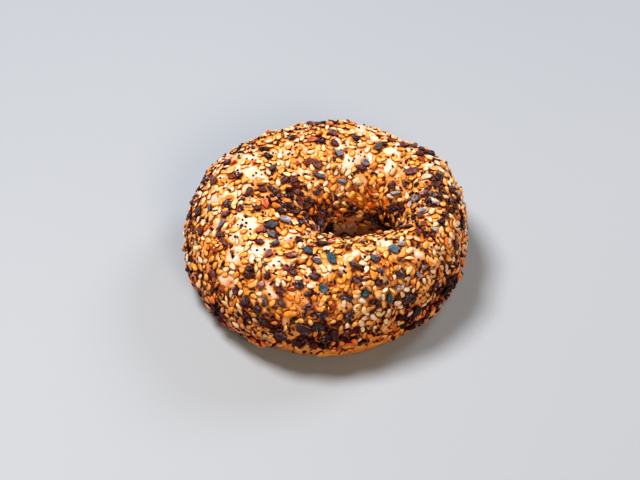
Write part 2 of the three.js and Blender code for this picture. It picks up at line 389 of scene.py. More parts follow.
def fold_depth(points):
    """How deep the crust is folded in at points on the dough."""
    depth = np.zeros(points.shape[:-1])
    for around, across, length, width, deepest, turn in FOLDS:
        place = np.radians((float(around), float(across)))
        middle = dough_point(*place)
        ahead = unit(dough_point(place[0] + SLOPE_STEP, place[1]) - middle)
        over = unit(dough_point(place[0], place[1] + SLOPE_STEP) - middle)
        along = ahead * math.cos(math.radians(turn)) + over * math.sin(math.radians(turn))
        sideways = np.cross(np.cross(ahead, over), along)
        apart = points - middle
        spread = ((apart @ along) / (length / 2)) ** 2 + ((apart @ sideways) / (width / 2)) ** 2
        depth += deepest * np.exp(-spread)
    return depth


def crust_frames(around, across):
    """Points on the crust with its normals, its directions around and its stretch at them."""
    step = SLOPE_STEP
    ahead = dough_point(around + step, across) - dough_point(around - step, across)
    over = dough_point(around, across + step) - dough_point(around, across - step)
    crossed = np.cross(ahead, over)
    normal = unit(crossed)
    base = dough_point(around, across)
    relief = sum(
        height * ripple(base, wavelength, RELIEF_SEED + number)
        for number, (wavelength, height) in enumerate(RIPPLES)
    )
    relief = (relief - fold_depth(base)) * smooth(FLAT_BELOW, FULL_ABOVE, base[..., 2])
    point = base + normal * relief[..., None]
    return point, normal, unit(ahead), np.linalg.norm(crossed, axis=-1)


def camera_axes():
    """The camera's right, up and backward directions and its place."""
    right = np.array((1.0, 0.0, 0.0))
    back = np.array((0.0, -math.cos(CAMERA_ELEVATION), math.sin(CAMERA_ELEVATION)))
    up = np.cross(back, right)
    place = np.array(CAMERA_TARGET) + back * CAMERA_DISTANCE
    return right, up, back, place


def make_camera():
    data = bpy.data.cameras.new("camera")
    data.lens = CAMERA_LENS
    data.sensor_width = SENSOR_WIDTH
    data.shift_x = (PHOTO_SIZE[0] / 2 - TARGET_PIXEL[0]) / PHOTO_SIZE[0]
    data.shift_y = (TARGET_PIXEL[1] - PHOTO_SIZE[1] / 2) / PHOTO_SIZE[0]
    data.clip_start = 0.01
    camera = bpy.data.objects.new("camera", data)
    camera.location = Vector(camera_axes()[3] * MM)
    camera.rotation_euler = (math.pi / 2 - CAMERA_ELEVATION, 0, 0)
    bpy.context.scene.collection.objects.link(camera)
    bpy.context.scene.camera = camera


def link(name, mesh):
    piece = bpy.data.objects.new(name, mesh)
    bpy.context.scene.collection.objects.link(piece)
    return piece


def write_mesh(name, points, corners, totals, places, tones, smooth_faces=True):
    """A mesh from arrays: points in millimetres, face corners, bake map and tones.

    A tone has a fourth value: how strongly painted shade in crevices darkens a seed, or how strong
    the painted highlights on a flake's ridges are.
    """
    mesh = bpy.data.meshes.new(name)
    starts = np.concatenate(((0,), np.cumsum(totals)[:-1]))
    mesh.vertices.add(len(points))
    mesh.vertices.foreach_set("co", (points * MM).astype(np.float32).ravel())
    mesh.loops.add(len(corners))
    mesh.loops.foreach_set("vertex_index", corners.astype(np.int32))
    mesh.polygons.add(len(totals))
    mesh.polygons.foreach_set("loop_start", starts.astype(np.int32))
    mesh.polygons.foreach_set("loop_total", totals.astype(np.int32))
    mesh.polygons.foreach_set("use_smooth", np.full(len(totals), smooth_faces))
    mesh.update(calc_edges=True)
    bake_map = mesh.uv_layers.new(name="OFBake")
    bake_map.data.foreach_set("uv", places.astype(np.float32).ravel())
    tone = mesh.attributes.new("tone", "FLOAT_COLOR", "POINT")
    tone.data.foreach_set("color", tones.astype(np.float32).ravel())
    mesh.validate()
    return mesh


def ring_of_crust():
    """The crust's grid of points, its face corners, bake places, and the angles of its points."""
    around = np.arange(CRUST_SLICES) * TURN / CRUST_SLICES
    across = np.arange(CRUST_STACKS) * TURN / CRUST_STACKS
    around, across = (grid.ravel() for grid in np.meshgrid(around, across, indexing="ij"))
    points = crust_frames(around, across)[0]
    i, j = np.meshgrid(np.arange(CRUST_SLICES), np.arange(CRUST_STACKS), indexing="ij")
    steps = ((0, 0), (1, 0), (1, 1), (0, 1))
    corners = np.stack(
        [(i + a) % CRUST_SLICES * CRUST_STACKS + (j + b) % CRUST_STACKS for a, b in steps], -1
    ).reshape(-1, 4)
    places = np.stack(
        [np.stack(((i + a) / CRUST_SLICES, (j + b) / CRUST_STACKS), -1) for a, b in steps], 2
    ).reshape(-1, 2)
    return points, across, corners, places


def seen_on_crust(tree, pixel):
    """The place on the crust that a pixel of the photograph shows, and its normal.

    A pixel just past the outline is moved in towards the middle until it meets the crust.
    """
    right, up, back, place = camera_axes()
    focal = CAMERA_LENS / SENSOR_WIDTH * PHOTO_SIZE[0]
    sideways = (pixel[0] - TARGET_PIXEL[0]) / focal
    upward = (TARGET_PIXEL[1] - pixel[1]) / focal
    spot, normal = None, None
    while spot is None:
        direction = unit(right * sideways + up * upward - back)
        spot, normal = tree.ray_cast(Vector(place), Vector(direction))[:2]
        sideways, upward = INWARD * sideways, INWARD * upward
    return np.array(spot), np.array(normal)


def patches_on_crust(tree, patches):
    return [(seen_on_crust(tree, (x, y))[0], radius) for x, y, radius in patches]


def hidden_patches(rng, count, radius, around_range, across_range):
    """Patches on the side that the photograph doesn't show, like those that it shows."""
    around = np.radians(rng.uniform(*around_range, count))
    across = np.radians(rng.uniform(*across_range, count))
    spots = crust_frames(around, across)[0]
    return list(zip(spots, rng.uniform(0.7, 1.2, count) * radius))


def patch_share(points, patches):
    """How far points lie inside ragged round patches: 1 within, fading to 0 past the edge."""
    share = np.zeros(len(points))
    wobble = 1 + 0.22 * ripple(points, 4.5, PATCH_SEED)
    for centre, radius in patches:
        distance = np.linalg.norm(points - centre, axis=-1) * wobble
        share = np.maximum(share, smooth(radius * 1.25, radius * 0.75, distance))
    return share


class Cover:
    """What lies on the crust so far: round footprints with radius, top height and the reach of their
    stains and painted shade.
    """

    def __init__(self, room=40000):
        self.points = np.zeros((room, 3))
        self.radius = np.zeros(room)
        self.top = np.zeros(room)
        self.stain_and_shade = np.zeros(room)
        self.count = 0

    def meet(self, feet, radius):
        """The deepest overlap of new footprints with the old ones, and the top met there."""
        if self.count == 0:
            return 0.0, 0.0
        old = self.points[: self.count]
        apart = np.linalg.norm(feet[:, None] - old[None], axis=-1)
        depth = radius + self.radius[: self.count] - apart
        met = (depth > 0.3 * radius).any(0)
        top = self.top[: self.count][met].max() if met.any() else 0.0
        return depth.max(), top

    def add(self, feet, radius, top, stain_and_shade):
        end = self.count + len(feet)
        self.points[self.count : end] = feet
        self.radius[self.count : end] = radius
        self.top[self.count : end] = top
        self.stain_and_shade[self.count : end] = stain_and_shade
        self.count = end


def feet_of(point, long_axis, length, width):
    """Footprint centres along a topping, and their radius."""
    reach = max(length - width, 0) / 2
    offsets = np.array((-reach, 0, reach)) if reach > 0.2 * width else np.zeros(1)
    return point + long_axis * offsets[:, None], width / 2


def scatter(rng, cover, chance, count, size, spread, overlap, tries, stain_and_shade):
    """Random places on the crust for one kind of topping.

    chance gives the share kept at each candidate. A place is refused where the topping would
    overlap the cover by more than overlap; a stacked one lies on what it meets. The result
    holds points, normals, long axes, heights over the crust and scales.
    """
    length, width, thickness = size
    around = rng.uniform(0, TURN, tries)
    across = rng.uniform(*TOPPED_ACROSS, tries)
    point, normal, ahead, stretch = crust_frames(around, across)
    keep = rng.uniform(0, 1, tries) < stretch / stretch.max() * chance(point, normal, across)
    spin = rng.uniform(0, TURN, tries)[:, None]
    long_axis = ahead * np.cos(spin) + np.cross(normal, ahead) * np.sin(spin)
    scale = np.clip(rng.normal(1, spread, tries), 1 - 2.5 * spread, 1 + 2.5 * spread)
    chosen, heights = [], []
    for i in np.flatnonzero(keep):
        if len(chosen) == count:
            break
        feet, radius = feet_of(point[i], long_axis[i], length * scale[i], width * scale[i])
        depth, top = cover.meet(feet, radius)
        if top >= KEPT_CLEAR or depth > overlap:
            continue
        height = min(top, HIGHEST_STACK) * SETTLED if overlap == STACKED else 0.0
        cover.add(feet, radius, height + thickness * scale[i], stain_and_shade)
        chosen.append(i)
        heights.append(height)
    picked = np.array(chosen, dtype=int)
    return {
        "point": point[picked], "normal": normal[picked], "along": long_axis[picked],
        "height": np.array(heights), "scale": scale[picked],
    }


def merged(*groups):
    return {key: np.concatenate([group[key] for group in groups]) for key in groups[0]}


def turned(axis, angle, vectors):
    """Vectors turned about unit axes by angles in radians, row by row."""
    cos, sin = np.cos(angle)[:, None], np.sin(angle)[:, None]
    inline = (axis * vectors).sum(-1, keepdims=True) * axis
    return vectors * cos + np.cross(axis, vectors) * sin + inline * (1 - cos)


def lying_axes(rng, group, tilt, on_edge=0.0):
    """Each topping's own X, Y and Z: lying on the crust, tilted a little, some on edge."""
    count = len(group["point"])
    x, z = group["along"], group["normal"]
    heading = rng.uniform(0, TURN, count)[:, None]
    tilt_axis = x * np.cos(heading) + np.cross(z, x) * np.sin(heading)
    angle = rng.normal(0, tilt, count)
    x, z = turned(tilt_axis, angle, x), turned(tilt_axis, angle, z)
    roll = np.where(rng.uniform(size=count) < on_edge, rng.uniform(0.9, 1.6, count), 0)
    z = turned(x, roll, z)
    return np.stack((x, np.cross(z, x), z), 1), roll


def closed_form(profile, sides):
    """A closed form turned round Z from a profile of (height, reach) between two poles.

    Returns its points' x, y, z and turns, its face corners and sizes, and each corner's place
    on the bake map.
    """
    levels = len(profile) - 1
    height, reach = (
        np.concatenate((row[:1], np.repeat(row[1:-1], sides), row[-1:]))
        for row in np.array(profile, dtype=float).T
    )
    turn = np.concatenate(((0,), np.tile(np.arange(sides) * TURN / sides, levels - 1), (0,)))

    def number(side, level):
        if level in (0, levels):
            return 0 if level == 0 else len(height) - 1
        return 1 + (level - 1) * sides + side % sides

    corners, totals, places = [], [], []
    for side in range(sides):
        for level in range(levels):
            face = [(side, level), (side + 1, level), (side + 1, level + 1), (side, level + 1)]
            if level == 0:
                face[:2] = [(side + 0.5, 0)]
            elif level == levels - 1:
                face[2:] = [(side + 0.5, levels)]
            corners += [number(*corner) for corner in face]
            places += [(x / sides, y / levels) for x, y in face]
            totals.append(len(face))
    return {
        "x": reach * np.cos(turn), "y": reach * np.sin(turn), "z": height, "turn": turn,
        "corners": np.array(corners), "totals": np.array(totals), "places": np.array(places),
    }


def joined(name, form, local, group, lift, axes, tones, depth=1.0, smooth_faces=True):
    """One mesh of many small pieces, each with its own cell of the bake map.

    local holds x, y and z of their points in their own axes, and lift is how high they lie.
    depth is how strongly painted shade in crevices darkens each seed, or how strong the painted
    highlights on each flake's ridges are.
    """
    local = np.stack(local, -1)
    count, size = local.shape[:2]
    middles = group["point"] + group["normal"] * (lift + group["height"])[:, None]
    points = middles[:, None] + np.einsum("mni,mij->mnj", local, axes)
    points[..., 2] = np.maximum(points[..., 2], 0)
    corners = (form["corners"][None] + np.arange(count)[:, None] * size).ravel()
    columns = math.ceil(math.sqrt(count))
    cells = np.stack((np.arange(count) % columns, np.arange(count) // columns), -1)
    inner = form["places"][None] * (1 - 2 * CELL_MARGIN)
    places = (cells[:, None] + CELL_MARGIN + inner) / columns
    depths = np.broadcast_to(np.reshape(depth, (-1, 1, 1)), (count, size, 1))
    tones = np.concatenate((np.clip(tones, 0, 1), depths), -1)
    mesh = write_mesh(
        name, points.reshape(-1, 3), corners, np.tile(form["totals"], count),
        places.reshape(-1, 2), tones.reshape(-1, 4), smooth_faces,
    )
    return link(name, mesh)


def piece_colours(rng, palette, weights, count, jitter=0.07):
    """A colour for each piece, drawn from a weighted palette and varied a little."""
    picks = rng.choice(len(palette), count, p=np.array(weights) / sum(weights))
    colours = np.array(palette)[picks]
    shade = rng.normal(0, jitter, (count, 1)) + rng.normal(0, jitter / 3, (count, 3))
    return colours * np.exp(shade)


def drop_form(levels, sides, taper=0.0, fullness=1.0, tip=1.0):
    """A round grain's form; with a taper, a drop's: round at one end and pointed at the other."""
    profile = [(-1, 0)]
    for level in range(1, levels + 1):
        angle = math.pi * level / (levels + 1)
        along = -math.cos(angle)
        profile.append((along, math.sin(angle) * (1 - taper * along) * fullness))
    return closed_form([*profile, (tip, 0)], sides)


def make_sesame(rng, name, group, palette, weights, shade, depth):
    """Sesame seeds: uneven drops with a painted highlight on top, darker round the edge and at the
    tip, partly toasting and partly painted shade, and with painted shade below.

    A drop's own Z lies along the seed.
    """
    form = drop_form(5, 10, taper=0.32, fullness=1.02, tip=1.12)
    count = len(group["point"])
    scale = group["scale"][:, None]
    varied = rng.uniform((0.93, 0.88, 0.8), (1.08, 1.1, 1.15), (count, 3))
    sizes = np.array(SESAME_SIZE) * scale * varied
    length, width, thickness = (sizes[:, axis : axis + 1] for axis in range(3))
    x = form["z"] * length / 2
    y = form["x"] * width / 2
    z = form["y"] * thickness / 2
    bend = rng.normal(0, 0.05, (count, 1))
    z = z + bend * (x * x - 1.0)
    y = y + rng.normal(0, 0.04, (count, 1)) * x * x
    axes, roll = lying_axes(rng, group, SESAME_TILT, SESAME_ON_EDGE)
    lift = thickness[:, 0] * (0.5 - SESAME_SUNK) + np.sin(roll) * width[:, 0] * 0.25
    colours = piece_colours(rng, palette, weights, count) * shade
    # Painted light: a highlight on top, shade below, and a rim and tip darkened partly by toasting
    # and partly as painted shade.
    rim = smooth(0.62, 1.0, np.abs(form["x"]))
    tip = smooth(0.55, 1.1, form["z"])
    under = smooth(0.25, -0.5, form["y"])
    edge = np.clip(0.6 * rim + 0.6 * tip + 0.8 * under, 0, 1)[None, :, None]
    top = smooth(0.1, 0.95, form["y"])[None, :, None]
    tones = colours[:, None] * (1 - edge + edge * SEED_EDGE_TOAST_AND_SHADE) * (1 + top * SEED_TOP_HIGHLIGHT)
    return joined(name, form, (x, y, z), group, lift, axes, tones, depth)


def make_flakes(rng, name, group, sizes, colours, curl, crumple):
    """Dried flakes: chips with uneven outlines, curled and crumpled, from sizes per piece."""
    form = closed_form(FLAKE_PROFILE, FLAKE_SIDES)
    count = len(group["point"])
    length, width, thickness = (sizes[:, axis : axis + 1] for axis in range(3))
    outline = rng.uniform(0.6, 1.2, (count, FLAKE_SIDES))
    side_of = np.round(form["turn"] / TURN * FLAKE_SIDES).astype(int) % FLAKE_SIDES
    reach = outline[:, side_of]
    x = form["x"] * reach * length / 2
    y = form["y"] * reach * width / 2
    z = form["z"] * thickness
    for _ in range(3):
        heading = rng.uniform(0, TURN, (count, 1))
        phase = rng.uniform(0, TURN, (count, 1))
        pitch = TURN / (length * rng.uniform(0.45, 1.1, (count, 1)))
        z = z + crumple * thickness * np.cos(
            pitch * (x * np.cos(heading) + y * np.sin(heading)) + phase
        )
    x = x + 0.08 * length * np.cos(3.1 * y / width + rng.uniform(0, TURN, (count, 1)))
    bend = curl * rng.uniform(-0.4, 1, (count, 1)) / length
    z = z + bend * x * x + 0.5 * bend * y * y
    axes = lying_axes(rng, group, FLAKE_TILT)[0]
    lift = thickness[:, 0] * 0.45
    # Painted light: each flake is lighter on top and darker below.
    painted_highlight = smooth(-0.6, 0.6, form["z"])[None, :, None]
    mottled = rng.uniform(0.45, 1.35, (count, len(form["z"]), 1))
    # Towards the foot flakes are darker and warmer, painted shade, and their painted ridge
    # highlights fade; higher up they take a faint cool tint.
    low = smooth(30, 12, group["point"][:, 2:])
    ridge_highlight_share = 1 - 0.85 * low
    colours = colours * (1 - low + low * LOW_FLAKE_SHADE) + (1 - low) * HIGH_FLAKE
    tones = colours[:, None] * (0.65 + 0.55 * painted_highlight) * mottled
    return joined(name, form, (x, y, z), group, lift, axes, tones, ridge_highlight_share, False)


def make_poppy(rng, group):
    """Poppy seeds: small round grains, a little bent."""
    form = drop_form(4, 8)
    count = len(group["point"])
    radius = POPPY_SIZE[0] / 2 * group["scale"][:, None]
    x = form["x"] * radius * 1.14
    y = form["y"] * radius * rng.uniform(0.85, 1, (count, 1))
    z = form["z"] * radius * 0.85
    x = x + 0.18 * y * y / radius
    axes = lying_axes(rng, group, POPPY_TILT)[0]
    colours = piece_colours(rng, TONES["poppy"], (5, 3, 2), count, jitter=0.15)
    tones = np.repeat(colours[:, None], len(form["z"]), 1)
    return joined("poppy_seeds", form, (x, y, z), group, radius[:, 0] * 0.55, axes, tones)


def make_crumbs(rng, group):
    """Small broken bits of seed and toasted onion between the seeds."""
    form = closed_form(CRUMB_PROFILE, CRUMB_SIDES)
    count, size = len(group["point"]), len(form["z"])
    radius = CRUMB_RADIUS * group["scale"][:, None]
    chipped = rng.uniform(0.65, 1.25, (count, size))
    x = form["x"] * radius * 1.3 * chipped
    y = form["y"] * radius * chipped
    z = form["z"] * radius * 0.6
    axes = lying_axes(rng, group, CRUMB_TILT)[0]
    colours = piece_colours(rng, TONES["crumb"], (4, 2, 3, 2), count, jitter=0.18)
    tones = np.repeat(colours[:, None], size, 1)
    return joined("crumbs", form, (x, y, z), group, radius[:, 0] * 0.3, axes, tones)


def node(tree, kind, inputs=None, **settings):
    """A shader node; an input is a value, a colour as an array, or another node's output."""
    added = tree.nodes.new(kind)
    for key, value in settings.items():
        setattr(added, key, value)
    for key, value in (inputs or {}).items():
        if isinstance(value, bpy.types.NodeSocket):
            tree.links.new(value, added.inputs[key])
        else:
            added.inputs[key].default_value = (*value, 1) if isinstance(value, np.ndarray) else value
    return added


def mixed(tree, share, first, second, how="MIX"):
    """A colour between two; each may be a colour or an output."""
    inputs = {0: share, 6: first, 7: second}
    return node(tree, "ShaderNodeMix", inputs, data_type="RGBA", blend_type=how).outputs[2]


def ramp(tree, value, low, high, least=0.0, most=1.0):
    """A value stepped smoothly from least to most between low and high."""
    inputs = {"Value": value, "From Min": low, "From Max": high, "To Min": least, "To Max": most}
    step = node(tree, "ShaderNodeMapRange", inputs, interpolation_type="SMOOTHSTEP")
    return step.outputs["Result"]


def scaled(tree, value, share):
    """One value times another."""
    return node(tree, "ShaderNodeMath", {0: value, 1: share}, operation="MULTIPLY").outputs["Value"]


def noise(tree, scale, detail=3.0, roughness=0.55, distortion=0.0):
    """Noise over the piece, its scale in features to a metre."""
    place = node(tree, "ShaderNodeTexCoord").outputs["Object"]
    inputs = {
        "Vector": place, "Scale": scale, "Detail": detail, "Roughness": roughness,
        "Distortion": distortion,
    }
    return node(tree, "ShaderNodeTexNoise", inputs).outputs["Fac"]


def bump(tree, height, depth, **under):
    """A bump of a height field, its depth in metres; Normal names one that it lies over."""
    inputs = {"Height": height, "Distance": depth, **under}
    return node(tree, "ShaderNodeBump", inputs).outputs["Normal"]


def crevice_shade(tree, reach, low, high):
    """How deep among neighbours a place lies, from how open it is within a reach in metres: the mask
    for painted shade in crevices.
    """
    occlusion = node(tree, "ShaderNodeAmbientOcclusion", {"Distance": reach}, samples=6)
    return ramp(tree, occlusion.outputs["AO"], low, high, 1, 0)


def new_material(name, **values):
    """A material with values set on its shader, its node tree and its shader's inputs."""
    made = bpy.data.materials.new(name)
    made.use_nodes = True
    inputs = made.node_tree.nodes["Principled BSDF"].inputs
    for key, value in values.items():
        inputs[key.replace("_", " ")].default_value = value
    return made, made.node_tree, inputs


def tone_of(tree):
    """The tone written on each point of a piece: its colour and its fourth value."""
    tone = node(tree, "ShaderNodeAttribute", attribute_name="tone")
    return tone.outputs["Color"], tone.outputs["Alpha"]


def crust_material():
    """Baked crust: golden, pale where it shows bare, browner below and in the hole, stained round
    toppings, with painted shade next to them and in crevices.
    """
    made, tree, inputs = new_material(
        "baked_crust", Subsurface_Weight=0.08, Subsurface_Radius=(1.0, 0.6, 0.35),
        Subsurface_Scale=0.0015, Coat_Weight=0.22, Coat_Roughness=0.18, Specular_IOR_Level=0.25,
    )
    shares = node(tree, "ShaderNodeSeparateColor", {"Color": tone_of(tree)[0]})
    bare, toast, stain_and_shade = (shares.outputs[key] for key in ("Red", "Green", "Blue"))
    golden = mixed(tree, ramp(tree, noise(tree, 170, 4), 0.38, 0.64), GOLDEN_CRUST, AMBER_CRUST)
    pale = mixed(tree, ramp(tree, noise(tree, 240, 5), 0.42, 0.7), BARE_CRUST, WARM_CRUST)
    pale = mixed(tree, ramp(tree, noise(tree, 620, 3), 0.5, 0.72, 0, 0.45), pale, PEACH_CRUST)
    skin = mixed(tree, bare, golden, pale)
    brown = mixed(tree, ramp(tree, noise(tree, 210, 4), 0.35, 0.65), TOASTED_CRUST, DEEP_CRUST)
    skin = mixed(tree, toast, skin, brown)
    # Round toppings: an orange stained edge, and nearest them a deep brown that is partly stained
    # crust and partly painted contact shade.
    skin = mixed(tree, ramp(tree, stain_and_shade, 0.0, 0.7), skin, EDGE_CRUST)
    deep = scaled(tree, ramp(tree, stain_and_shade, 0.45, 1.0), ramp(tree, bare, 0, 1, 1, 0.25))
    skin = mixed(tree, deep, skin, STAINED_SHADED_CRUST)
    # Painted shade in crevices, from ambient occlusion, weaker on pale crust.
    shadow = scaled(tree, crevice_shade(tree, 0.0017, 0.42, 0.92), ramp(tree, bare, 0, 1, 1, 0.45))
    skin = mixed(tree, shadow, skin, CRUST_CREVICE_SHADE, "MULTIPLY")
    freckle = ramp(tree, noise(tree, 900, 3, 0.6), 0.6, 0.72, 0, 0.35)
    skin = mixed(tree, freckle, skin, TOASTED_CRUST)
    tree.links.new(skin, inputs["Base Color"])
    tree.links.new(ramp(tree, noise(tree, 500, 3), 0.3, 0.7, 0.3, 0.5), inputs["Roughness"])
    fine = bump(tree, noise(tree, 1500, 4, 0.6), 0.00008)
    soft = bump(tree, noise(tree, 420, 4, 0.55, 0.4), 0.00035, Normal=fine)
    tree.links.new(soft, inputs["Normal"])
    return made


def seed_material(name, roughness, gloss, depth):
    """Sesame: each seed's own tone, mottled, with painted shade in crevices and a faint skin
    texture.
    """
    made, tree, inputs = new_material(
        name, Roughness=roughness, Subsurface_Weight=0.18, Subsurface_Radius=(1.0, 0.65, 0.35),
        Subsurface_Scale=depth, Coat_Weight=gloss, Coat_Roughness=0.14, Specular_IOR_Level=0.28,
    )
    tone, crevice_shade_strength = tone_of(tree)
    mottle = ramp(tree, noise(tree, 900, 3), 0.35, 0.7, 0, 0.6)
    skin = mixed(tree, mottle, tone, STAINED_SEED, "MULTIPLY")
    # Painted shade in crevices, as strong as the seed's fourth tone value.
    shadow = scaled(tree, crevice_shade(tree, 0.0015, 0.33, 0.92), crevice_shade_strength)
    skin = mixed(tree, shadow, skin, SEED_CREVICE_SHADE, "MULTIPLY")
    tree.links.new(skin, inputs["Base Color"])
    tree.links.new(bump(tree, noise(tree, 3500, 3), 0.00004), inputs["Normal"])
    return made


def poppy_material():
    """Poppy: near black, with the net of ridges that its skin has."""
    made, tree, inputs = new_material("poppy_skin", Roughness=0.4, Specular_IOR_Level=0.15)
    tree.links.new(tone_of(tree)[0], inputs["Base Color"])
    place = node(tree, "ShaderNodeTexCoord").outputs["Object"]
    cells = node(tree, "ShaderNodeTexVoronoi", {"Vector": place, "Scale": 5200.0})
    tree.links.new(bump(tree, cells.outputs["Distance"], 0.00005), inputs["Normal"])
    return made


def flake_material(name, roughness, gloss, depth, wrinkle, painted_highlight):
    """Dried onion or garlic: its own tone with streaks, painted highlights on its ridges, painted
    shade in crevices and a wrinkled surface.
    """
    made, tree, inputs = new_material(
        name, Subsurface_Weight=depth, Subsurface_Radius=(1.0, 0.5, 0.25),
        Subsurface_Scale=0.001, Coat_Weight=gloss, Coat_Roughness=0.2, Specular_IOR_Level=0.12,
    )
    tone, ridge_highlight_share = tone_of(tree)
    streaks = ramp(tree, noise(tree, 1300, 4, 0.65, 1.5), 0.3, 0.7, 0, 0.6)
    skin = mixed(tree, streaks, tone, STREAKED_FLAKE, "MULTIPLY")
    # Painted highlights: ridges lightened towards the highlight colour, less so towards the foot.
    ridges = ramp(tree, noise(tree, 1700, 3, 0.6, 2.0), 0.54, 0.64, 0, 0.85)
    skin = mixed(tree, scaled(tree, ridges, ridge_highlight_share), skin, painted_highlight)
    # Painted shade in crevices.
    skin = mixed(tree, crevice_shade(tree, 0.0014, 0.4, 0.95), skin, FLAKE_CREVICE_SHADE, "MULTIPLY")
    tree.links.new(skin, inputs["Base Color"])
    rough = ramp(tree, noise(tree, 1700, 3), 0.3, 0.7, roughness - 0.1, roughness + 0.12)
    tree.links.new(rough, inputs["Roughness"])
    tree.links.new(bump(tree, noise(tree, 1600, 4, 0.6, 1.2), wrinkle), inputs["Normal"])
    return made


# Colours of the crust and toppings.
BARE_CRUST = srgb(206, 190, 184)
WARM_CRUST = srgb(212, 180, 146)
PEACH_CRUST = srgb(230, 180, 120)
GOLDEN_CRUST = srgb(221, 164, 82)
AMBER_CRUST = srgb(206, 128, 44)
TOASTED_CRUST = srgb(212, 114, 20)
DEEP_CRUST = srgb(150, 68, 12)
EDGE_CRUST = srgb(214, 142, 54)
# Deep brown next to toppings: partly stained crust, partly painted contact shade.
STAINED_SHADED_CRUST = srgb(108, 34, 4)
STAINED_SEED = srgb(228, 180, 120)
STREAKED_FLAKE = srgb(110, 92, 88)
# Painted shade in crevices: multipliers for the crust, the seeds and the flakes.
CRUST_CREVICE_SHADE = np.array((0.26, 0.018, 0.001))
SEED_CREVICE_SHADE = np.array((0.4, 0.055, 0.003))
FLAKE_CREVICE_SHADE = np.array((0.4, 0.08, 0.025))
# Flakes: darker and warmer towards the foot, painted shade, and a faint cool tint higher up.
HIGH_FLAKE = np.array((0.0, 0.007, 0.011))
LOW_FLAKE_SHADE = np.array((0.72, 0.42, 0.28))
# Seeds: a darker rim and tip, partly toasting and partly painted shade, painted shade below, and a
# painted highlight on top.
SEED_EDGE_TOAST_AND_SHADE = np.array((0.74, 0.44, 0.18))
SEED_TOP_HIGHLIGHT = np.array((0.0, 0.08, 0.4))
# Seeds darker and browner towards the foot and in the dark patches: partly toasting, partly painted
# shade.
LOW_SEED_SHADE = np.array((0.92, 0.62, 0.27))
SHADED_SEED = np.array((0.88, 0.68, 0.46))
# Colours of the painted highlights on flake ridges.
CHARRED_RIDGE_HIGHLIGHT = srgb(150, 132, 148)
RUST_RIDGE_HIGHLIGHT = srgb(206, 120, 66)
GARLIC_RIDGE_HIGHLIGHT = srgb(240, 220, 180)
FLOOR_TINTS = (srgb(148, 153, 164), srgb(143, 148, 159))
TONES = {
    "charred": (srgb(58, 10, 2), srgb(68, 22, 10), srgb(36, 6, 2), srgb(98, 28, 6)),
    "plum": (srgb(88, 42, 46), srgb(104, 52, 54), srgb(72, 28, 26)),
    "slate": (srgb(76, 70, 78), srgb(92, 92, 106), srgb(66, 58, 64)),
    # Pale blue-grey: a painted reflection of the sheen on dark flakes.
    "grey_sheen": (srgb(132, 130, 146), srgb(150, 150, 168)),
    "mauve": (srgb(164, 104, 98), srgb(146, 88, 90)),
    # Teal: a painted blue sheen on dark flakes.
    "teal_sheen": (srgb(30, 78, 96), srgb(28, 58, 82), srgb(50, 92, 104)),
    "rust": (srgb(156, 58, 22), srgb(182, 80, 34), srgb(112, 40, 22), srgb(164, 84, 62)),
    "garlic": (srgb(232, 200, 144), srgb(222, 198, 178)),
    "poppy": (srgb(42, 12, 4), srgb(60, 22, 8), srgb(26, 10, 8)),
    "crumb": (srgb(206, 122, 40), srgb(112, 50, 22), srgb(236, 178, 92), srgb(46, 28, 28)),
    "hulled": (srgb(216, 196, 164), srgb(218, 187, 137), srgb(222, 164, 82)),
    "baked": (srgb(216, 146, 56), srgb(208, 114, 34), srgb(148, 68, 20)),
}

# Sesame by piece: whether it is toasted, its tones with their shares, and its translucent depth.
SESAME_PIECES = {
    "sesame_seeds": (False, "hulled", (3, 4, 5), 0.0007),
    "sesame_toasted": (True, "baked", (8, 1, 1), 0.0005),
}

# Flakes by piece: tones of those that stand out and their thickness, kinds scattered by rule
# and their tone, curl, crumple, and the material with its roughness, gloss, translucency,
# wrinkle depth in metres and the colour of its painted ridge highlights.
FLAKE_PIECES = {
    "onion_flakes": (
        ("charred", "plum", "slate", "grey_sheen", "teal_sheen", "mauve"), 1.15,
        ("large", "small", "small_on_top"), "charred", 0.4, 0.24,
        ("charred_onion", 0.32, 0.16, 0.0, 0.0003, CHARRED_RIDGE_HIGHLIGHT)),
    "onion_skins": (
        ("rust",), 0.5, ("skins",), "rust", 0.8, 0.22,
        ("toasted_onion", 0.34, 0.2, 0.12, 0.0002, RUST_RIDGE_HIGHLIGHT)),
    "garlic_flakes": (
        ("garlic",), 0.8, ("chips",), "garlic", 0.3, 0.08,
        ("dried_garlic", 0.3, 0.25, 0.3, 0.0001, GARLIC_RIDGE_HIGHLIGHT)),
}


def crust_patches(rng, tree):
    """The patches of the crust by kind: those that the photograph shows, then hidden ones."""
    shown = {"bare": BARE_PATCHES, "dark": DARK_PATCHES, "toasted": TOASTED_PATCHES,
             "bald": BALD_PATCHES}
    patches = {kind: patches_on_crust(tree, spots) for kind, spots in shown.items()}
    patches["bare"] += hidden_patches(rng, *HIDDEN_BARE)
    patches["dark"] += hidden_patches(rng, *HIDDEN_DARK)
    return patches


def coat_share(point, across, outer=-18, inner=166):
    """The coat's share: it thins to nothing in the hole and at the foot, sooner in front.

    It is full between the outer and the inner angle across, in degrees.
    """
    front = smooth(0.8, 0.96, -point[:, 1] / np.linalg.norm(point[:, :2], axis=-1))
    outside = smooth(outer - 16 + 8 * front, outer + 10 * front, np.degrees(across))
    return outside * smooth(math.radians(205), math.radians(inner), across)


